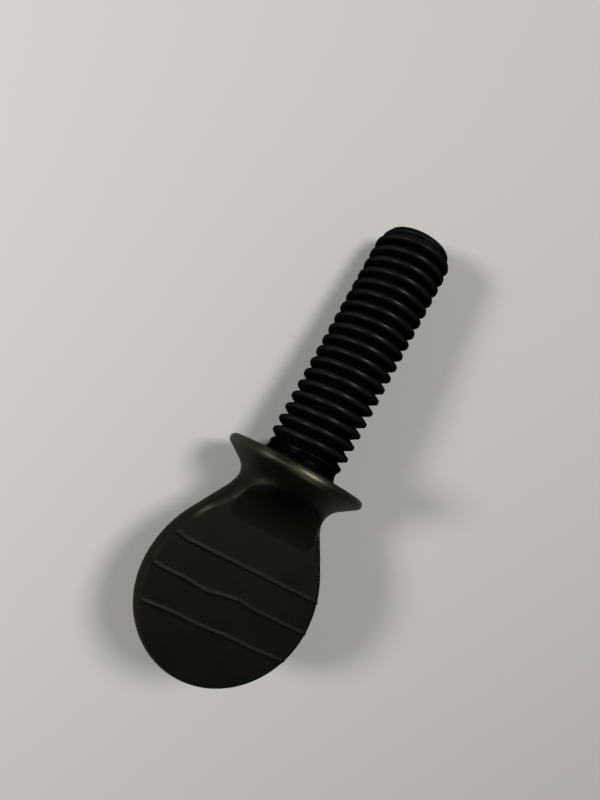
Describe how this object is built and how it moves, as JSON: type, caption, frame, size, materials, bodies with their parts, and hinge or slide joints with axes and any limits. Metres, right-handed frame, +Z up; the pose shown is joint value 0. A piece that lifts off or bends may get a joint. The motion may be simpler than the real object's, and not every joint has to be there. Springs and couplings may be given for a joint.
{
  "type": "thumb screw",
  "caption": "Forged one-piece thumb screw: round flange with a flat bearing face, flat rounded spade with raised grip ridges, and a threaded shank.",
  "frame": {"origin": "centre of the flange's bearing face, on the thread's axis", "axes": "+Y along the screw towards the threaded point, +X across the spade, +Z up as it lies on the flange's rim and the thread's point; the screw's own axis leans 7.51 degrees down from +Y"},
  "size_m": [0.0172, 0.0469, 0.0139],
  "materials": {
    "black_oxide_steel": "black oxide, oiled satin"
  },
  "bodies": {
    "root": {"thumb_screw": "black_oxide_steel"}
  },
  "joints": []
}
